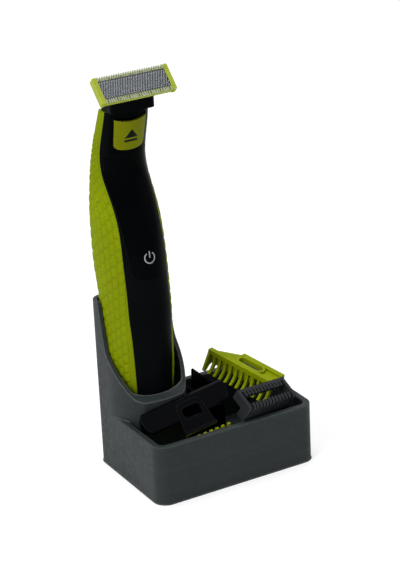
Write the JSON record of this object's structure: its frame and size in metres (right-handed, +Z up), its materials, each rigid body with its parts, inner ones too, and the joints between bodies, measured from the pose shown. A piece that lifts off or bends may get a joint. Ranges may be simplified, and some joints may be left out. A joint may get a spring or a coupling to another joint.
{
  "type": "shaver stand",
  "caption": "Desk stand with an open tray and a tall socket that holds an upright shaver; its blade cap and combs lie in the tray.",
  "frame": {"origin": "on the floor, under the middle of the tray", "axes": "+X to the right along the tray, +Y to the back, +Z up along the shaver"},
  "size_m": [0.0848, 0.0655, 0.1934],
  "materials": {
    "stand": "fine printed layers",
    "housing": "satin",
    "grip": "moulded scale relief",
    "panel": "high gloss",
    "lime_plastic": "satin",
    "board": "solder mask",
    "switch": "plain",
    "cell": "shrink sleeve",
    "strap": "nickel",
    "motor": "plated",
    "steel": "ground",
    "frame": "plain",
    "lever": "plain",
    "seal": "soft",
    "guard": "etched",
    "cap": "gloss",
    "comb_grey": "satin"
  },
  "bodies": {
    "stand": {"stand_body": "stand"},
    "shaver": {"front_housing": "housing", "rear_housing": "housing", "grip_sleeve": "grip", "front_panel": "panel", "circuit_board": "board", "power_switch": "switch", "battery_cell": "cell", "battery_straps": "strap", "motor": "motor", "inner_frame": "frame", "lever_pin": "steel", "frame_screws": "steel", "head_support": "housing", "neck_seal": "seal", "release_springs": "steel", "charging_inlet": "housing", "inlet_pins": "strap"},
    "power_key": {"power_button": "panel"},
    "release_key": {"release_button": "lime_plastic"},
    "rotor": {"motor_shaft": "steel"},
    "lever": {"drive_lever": "lever"},
    "blade_unit": {"blade_holder": "housing", "blade_frame": "lime_plastic", "foil_guard": "guard", "cutter_spring": "steel"},
    "moving_cutter": {"cutter": "steel"},
    "cap": {"blade_cap": "cap"},
    "spare": {"spare_comb": "lime_plastic"},
    "fine": {"fine_comb": "housing"},
    "long": {"long_comb": "lime_plastic"},
    "short": {"short_comb": "comb_grey"}
  },
  "joints": [
    {"name": "shaver_lift", "type": "slide", "parent": "stand", "child": "shaver", "axis": [0, 0, 1], "range_m": [0, 0.09]},
    {"name": "power_press", "type": "slide", "parent": "shaver", "child": "power_key", "axis": [0, 1, 0], "range_m": [0, 0.0005], "stiffness_N_per_m": 1500},
    {"name": "release_slide", "type": "slide", "parent": "shaver", "child": "release_key", "axis": [0, -0.1715, 0.9852], "range_m": [0, 0.0015], "stiffness_N_per_m": 700, "deforming": ["release_springs"]},
    {"name": "rotor_spin", "type": "hinge", "parent": "shaver", "child": "rotor", "pos_m": [-0.0234, 0.0148, 0.12], "axis": [0, 0, 1], "continuous": true},
    {"name": "lever_swing", "type": "hinge", "parent": "shaver", "child": "lever", "pos_m": [-0.0234, 0.021, 0.15], "axis": [0, 1, 0], "range_deg": [-1.5, 1.5]},
    {"name": "blade_unclip", "type": "slide", "parent": "shaver", "child": "blade_unit", "axis": [0, 0, 1], "range_m": [0, 0.0015]},
    {"name": "cutter_slide", "type": "slide", "parent": "blade_unit", "child": "moving_cutter", "axis": [1, 0, 0], "range_m": [-0.00096, 0.00096]},
    {"name": "spare_comb_lift", "type": "slide", "parent": "stand", "child": "spare", "axis": [0, 0, 1], "range_m": [0, 0.05]},
    {"name": "cap_lift", "type": "slide", "parent": "spare", "child": "cap", "axis": [0, 0, 1], "range_m": [0, 0.05]},
    {"name": "fine_comb_lift", "type": "slide", "parent": "stand", "child": "fine", "axis": [0, 0, 1], "range_m": [0, 0.05]},
    {"name": "long_comb_lift", "type": "slide", "parent": "fine", "child": "long", "axis": [0, 0, 1], "range_m": [0, 0.05]},
    {"name": "short_comb_lift", "type": "slide", "parent": "long", "child": "short", "axis": [0, 0, 1], "range_m": [0, 0.05]}
  ],
  "couplings": [
    {"joint": "cutter_slide", "follows": "lever_swing", "m_per_rad": 0.0365},
    {"joint": "blade_unclip", "follows": "release_slide", "ratio": 1}
  ]
}
